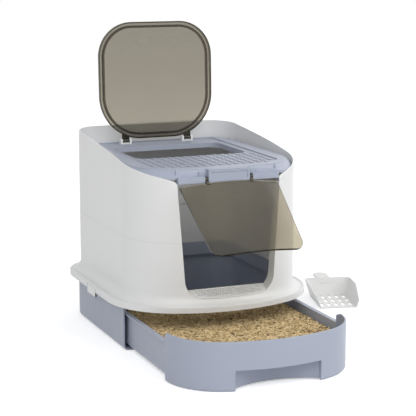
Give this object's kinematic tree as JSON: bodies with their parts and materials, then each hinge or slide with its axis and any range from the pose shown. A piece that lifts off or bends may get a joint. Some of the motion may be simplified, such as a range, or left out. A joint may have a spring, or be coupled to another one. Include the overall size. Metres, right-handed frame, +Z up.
{
  "type": "top-entry litter box",
  "caption": "Covered litter box with a pull-out litter drawer, a hood with a round-cornered top entry under a hinged smoked lid, a smoked front flap, and a loose scoop.",
  "frame": {"origin": "on the floor at the centre of the base's footprint", "axes": "+X to the right seen from the front, +Y to the back, +Z up; the drawer and the flap are at the -Y side"},
  "size_m": [0.6667, 0.708, 0.641],
  "materials": {
    "blue_plastic": "satin",
    "white_plastic": "satin",
    "smoked_plastic": "clear smoked",
    "scoop_plastic": "satin",
    "pin_plastic": "matte",
    "litter": "loose pellets"
  },
  "bodies": {
    "base": {"base_shell": "blue_plastic"},
    "drawer": {"drawer_tray": "blue_plastic", "litter_bed": "litter"},
    "hood": {"hood_lower": "white_plastic", "hood_upper": "white_plastic", "entry_step": "white_plastic", "top_deck": "blue_plastic", "hinge_cover": "blue_plastic", "lid_hinge_clip_left": "white_plastic", "lid_hinge_clip_right": "white_plastic", "lid_hinge_pin_left": "pin_plastic", "lid_hinge_pin_right": "pin_plastic", "flap_hinge_pin_left": "pin_plastic", "flap_hinge_pin_right": "pin_plastic", "side_clip_pin_left": "pin_plastic", "side_clip_pin_right": "pin_plastic"},
    "lid": {"lid_panel": "smoked_plastic"},
    "flap": {"front_flap": "smoked_plastic"},
    "clip_left": {"side_clip_left": "white_plastic"},
    "clip_right": {"side_clip_right": "white_plastic"},
    "scoop": {"scoop": "scoop_plastic"}
  },
  "joints": [
    {"name": "drawer_slide", "type": "slide", "parent": "base", "child": "drawer", "axis": [0, -1, 0], "range_m": [-0.22, 0.12]},
    {"name": "hood_lift", "type": "slide", "parent": "base", "child": "hood", "axis": [0, 0, 1], "range_m": [0, 0.15]},
    {"name": "lid_hinge", "type": "hinge", "parent": "hood", "child": "lid", "pos_m": [0, 0.136, 0.382], "axis": [1, 0, 0], "range_deg": [0, 92]},
    {"name": "flap_hinge", "type": "hinge", "parent": "hood", "child": "flap", "pos_m": [0, -0.2655, 0.357], "axis": [1, 0, 0], "range_deg": [-26, 114]},
    {"name": "clip_left_hinge", "type": "hinge", "parent": "hood", "child": "clip_left", "pos_m": [-0.21, -0.037, 0.1035], "axis": [0, 1, 0], "range_deg": [0, 70]},
    {"name": "clip_right_hinge", "type": "hinge", "parent": "hood", "child": "clip_right", "pos_m": [0.21, -0.037, 0.1035], "axis": [0, -1, 0], "range_deg": [0, 70]},
    {"name": "scoop_lift", "type": "slide", "parent": "base", "child": "scoop", "axis": [0, 0, 1], "range_m": [0, 0.2]}
  ]
}
